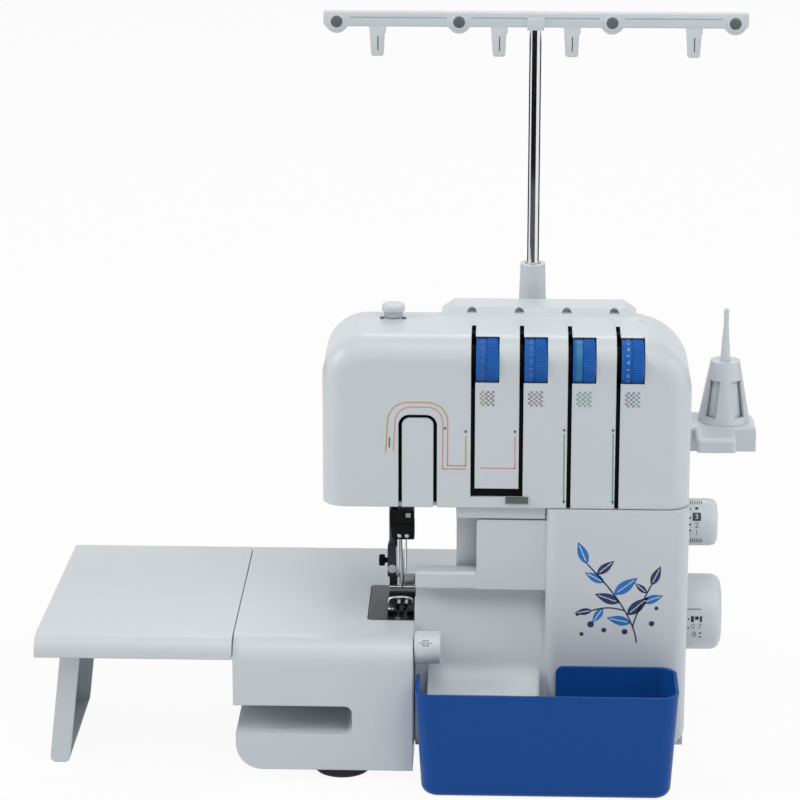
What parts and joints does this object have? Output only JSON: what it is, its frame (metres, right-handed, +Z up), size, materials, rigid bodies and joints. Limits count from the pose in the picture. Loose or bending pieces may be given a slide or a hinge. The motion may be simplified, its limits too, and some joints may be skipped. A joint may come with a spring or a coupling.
{
  "type": "overlock sewing machine",
  "caption": "Home overlock sewing machine: free arm with clip-on table, head with tension dials in slots, hinged looper cover, blue trim bin and a telescopic thread pole.",
  "frame": {"origin": "middle of the bounding box at the surface it stands on", "axes": "+Z up, +X to the machine's right seen from the front, +Y to its back"},
  "size_m": [0.4922, 0.246, 0.502],
  "materials": {
    "casing": "satin gloss moulded shell",
    "bin_blue": "glossy blue moulding",
    "dial_blue": "ribbed blue moulding",
    "black": "matte black moulding",
    "grey": "grey moulding",
    "rubber": "matte rubber",
    "steel": "brushed steel",
    "bright": "bright plated tube",
    "casting": "cast and machined alloy",
    "belt": "toothed rubber",
    "bronze": "sintered bronze"
  },
  "bodies": {
    "machine": {"base_tray": "casing", "rubber_feet": "rubber", "main_frame": "casting", "free_arm_casing": "casing", "needle_plate": "steel", "lower_knife": "steel", "head_front_casing": "casing", "take_up_cover": "casing", "rear_casing": "casing", "tension_housings": "black", "tension_posts": "steel", "tension_discs": "steel", "thread_guide_ridge": "casing", "head_thread_guide": "steel", "pole_sleeve": "casing", "pole_guide_tube": "steel", "spool_stand": "casing", "spool_pins": "casing", "cone_holders": "casing", "stand_screws": "steel", "chute_side": "casing", "power_inlet": "black", "motor": "steel", "drive_belt": "belt", "shaft_bushes": "bronze"},
    "handwheel_drive": {"handwheel": "casing", "main_shaft": "steel", "shaft_pulley": "casting"},
    "motor_drive": {"motor_pulley": "casting"},
    "length_dial": {"stitch_length_dial": "casing"},
    "width_dial": {"stitch_width_dial": "casing"},
    "knob": {"pressure_knob": "casing"},
    "rocker": {"needle_rocker": "steel"},
    "needle_slider": {"needle_bar": "steel", "needle_clamp": "black", "needles": "steel"},
    "presser": {"presser_bar": "steel", "foot_shank": "steel", "presser_foot": "steel", "foot_screw": "black"},
    "lifter": {"presser_lifter": "black"},
    "knife": {"upper_knife": "steel"},
    "looper_up": {"upper_looper": "steel"},
    "looper_low": {"lower_looper": "steel"},
    "feed_main": {"main_feed_dog": "steel"},
    "feed_differential": {"differential_feed_dog": "steel"},
    "cover_rod": {"cover_hinge_rod": "steel"},
    "cover": {"front_cover": "casing"},
    "bin": {"trim_bin": "bin_blue"},
    "table": {"wide_table": "casing", "leg_pin": "steel"},
    "leg": {"table_leg": "casing"},
    "pole": {"upper_pole": "bright"},
    "thread_bar": {"guide_bar": "casing", "bar_studs": "grey"},
    "switch": {"power_switch": "black"},
    "dial_1": {"tension_dial_1": "dial_blue"},
    "dial_2": {"tension_dial_2": "dial_blue"},
    "dial_3": {"tension_dial_3": "dial_blue"},
    "dial_4": {"tension_dial_4": "dial_blue"}
  },
  "joints": [
    {"name": "handwheel_turn", "type": "hinge", "parent": "machine", "child": "handwheel_drive", "pos_m": [0.1925, 0.00835, 0.0885], "axis": [1, 0, 0], "continuous": true},
    {"name": "motor_turn", "type": "hinge", "parent": "machine", "child": "motor_drive", "pos_m": [0.1545, 0.03235, 0.048], "axis": [1, 0, 0], "continuous": true},
    {"name": "tension_dial_1_turn", "type": "hinge", "parent": "machine", "child": "dial_1", "pos_m": [0.0501, -0.04715, 0.2835], "axis": [1, 0, 0], "range_deg": [-160, 160]},
    {"name": "tension_dial_2_turn", "type": "hinge", "parent": "machine", "child": "dial_2", "pos_m": [0.0821, -0.04715, 0.2835], "axis": [1, 0, 0], "range_deg": [-160, 160]},
    {"name": "tension_dial_3_turn", "type": "hinge", "parent": "machine", "child": "dial_3", "pos_m": [0.1141, -0.04715, 0.2835], "axis": [1, 0, 0], "range_deg": [-160, 160]},
    {"name": "tension_dial_4_turn", "type": "hinge", "parent": "machine", "child": "dial_4", "pos_m": [0.1461, -0.04715, 0.2835], "axis": [1, 0, 0], "range_deg": [-160, 160]},
    {"name": "stitch_length_turn", "type": "hinge", "parent": "machine", "child": "length_dial", "pos_m": [0.1925, 0.00835, 0.154], "axis": [1, 0, 0], "range_deg": [-120, 120]},
    {"name": "stitch_width_turn", "type": "hinge", "parent": "machine", "child": "width_dial", "pos_m": [0.0085, -0.07765, 0.092], "axis": [1, 0, 0], "range_deg": [-150, 150]},
    {"name": "pressure_turn", "type": "hinge", "parent": "machine", "child": "knob", "pos_m": [-0.0075, -0.00465, 0.302], "axis": [0, 0, 1], "range_deg": [-360, 360]},
    {"name": "needle_rock", "type": "hinge", "parent": "machine", "child": "rocker", "pos_m": [0.0085, 0.02235, 0.266], "axis": [1, 0, 0], "range_deg": [-5, 38]},
    {"name": "needle_slide", "type": "slide", "parent": "machine", "child": "needle_slider", "axis": [0, 0, 1], "range_m": [-0.0258, 0.0034]},
    {"name": "lifter_turn", "type": "hinge", "parent": "machine", "child": "lifter", "pos_m": [-0.0355, 0.03235, 0.198], "axis": [1, 0, 0], "range_deg": [0, 35]},
    {"name": "presser_slide", "type": "slide", "parent": "machine", "child": "presser", "axis": [0, 0, 1], "range_m": [0, 0.0062]},
    {"name": "knife_rock", "type": "hinge", "parent": "machine", "child": "knife", "pos_m": [0.0085, 0.01235, 0.052], "axis": [1, 0, 0], "range_deg": [-3, 6]},
    {"name": "upper_looper_rock", "type": "hinge", "parent": "machine", "child": "looper_up", "pos_m": [0.0585, -0.00765, 0.066], "axis": [0, 1, 0], "range_deg": [-8, 4]},
    {"name": "lower_looper_rock", "type": "hinge", "parent": "machine", "child": "looper_low", "pos_m": [0.0505, -0.01465, 0.048], "axis": [0, 1, 0], "range_deg": [-8, 8]},
    {"name": "main_feed_slide", "type": "slide", "parent": "machine", "child": "feed_main", "axis": [0, 1, 0], "range_m": [-0.0025, 0.0025]},
    {"name": "differential_feed_slide", "type": "slide", "parent": "machine", "child": "feed_differential", "axis": [0, 1, 0], "range_m": [-0.0025, 0.0025]},
    {"name": "cover_slide", "type": "slide", "parent": "machine", "child": "cover_rod", "axis": [1, 0, 0], "range_m": [0, 0.01]},
    {"name": "cover_open", "type": "hinge", "parent": "cover_rod", "child": "cover", "pos_m": [0.0969, -0.04765, 0.025], "axis": [1, 0, 0], "range_deg": [0, 60]},
    {"name": "bin_slide", "type": "slide", "parent": "machine", "child": "bin", "axis": [0, -1, 0], "range_m": [0, 0.13]},
    {"name": "table_slide", "type": "slide", "parent": "machine", "child": "table", "axis": [-1, 0, 0], "range_m": [0, 0.06]},
    {"name": "leg_fold", "type": "hinge", "parent": "table", "child": "leg", "pos_m": [-0.2241, -0.06565, 0.09], "axis": [0, -1, 0], "range_deg": [0, 88]},
    {"name": "pole_slide", "type": "slide", "parent": "machine", "child": "pole", "axis": [0, 0, -1], "range_m": [0, 0.12]},
    {"name": "bar_turn", "type": "hinge", "parent": "pole", "child": "thread_bar", "pos_m": [0.0865, 0.04835, 0.491], "axis": [0, 0, 1], "range_deg": [-90, 90]},
    {"name": "switch_rock", "type": "hinge", "parent": "machine", "child": "switch", "pos_m": [0.188, 0.06335, 0.068], "axis": [0, 1, 0], "range_deg": [-7, 7]}
  ],
  "couplings": [
    {"joint": "motor_turn", "follows": "handwheel_turn", "ratio": 2.75},
    {"joint": "needle_rock", "follows": "needle_slide", "rad_per_m": -25.641},
    {"joint": "presser_slide", "follows": "lifter_turn", "m_per_rad": 0.0098},
    {"joint": "bin_slide", "follows": "cover_open", "m_per_rad": 0.12}
  ]
}
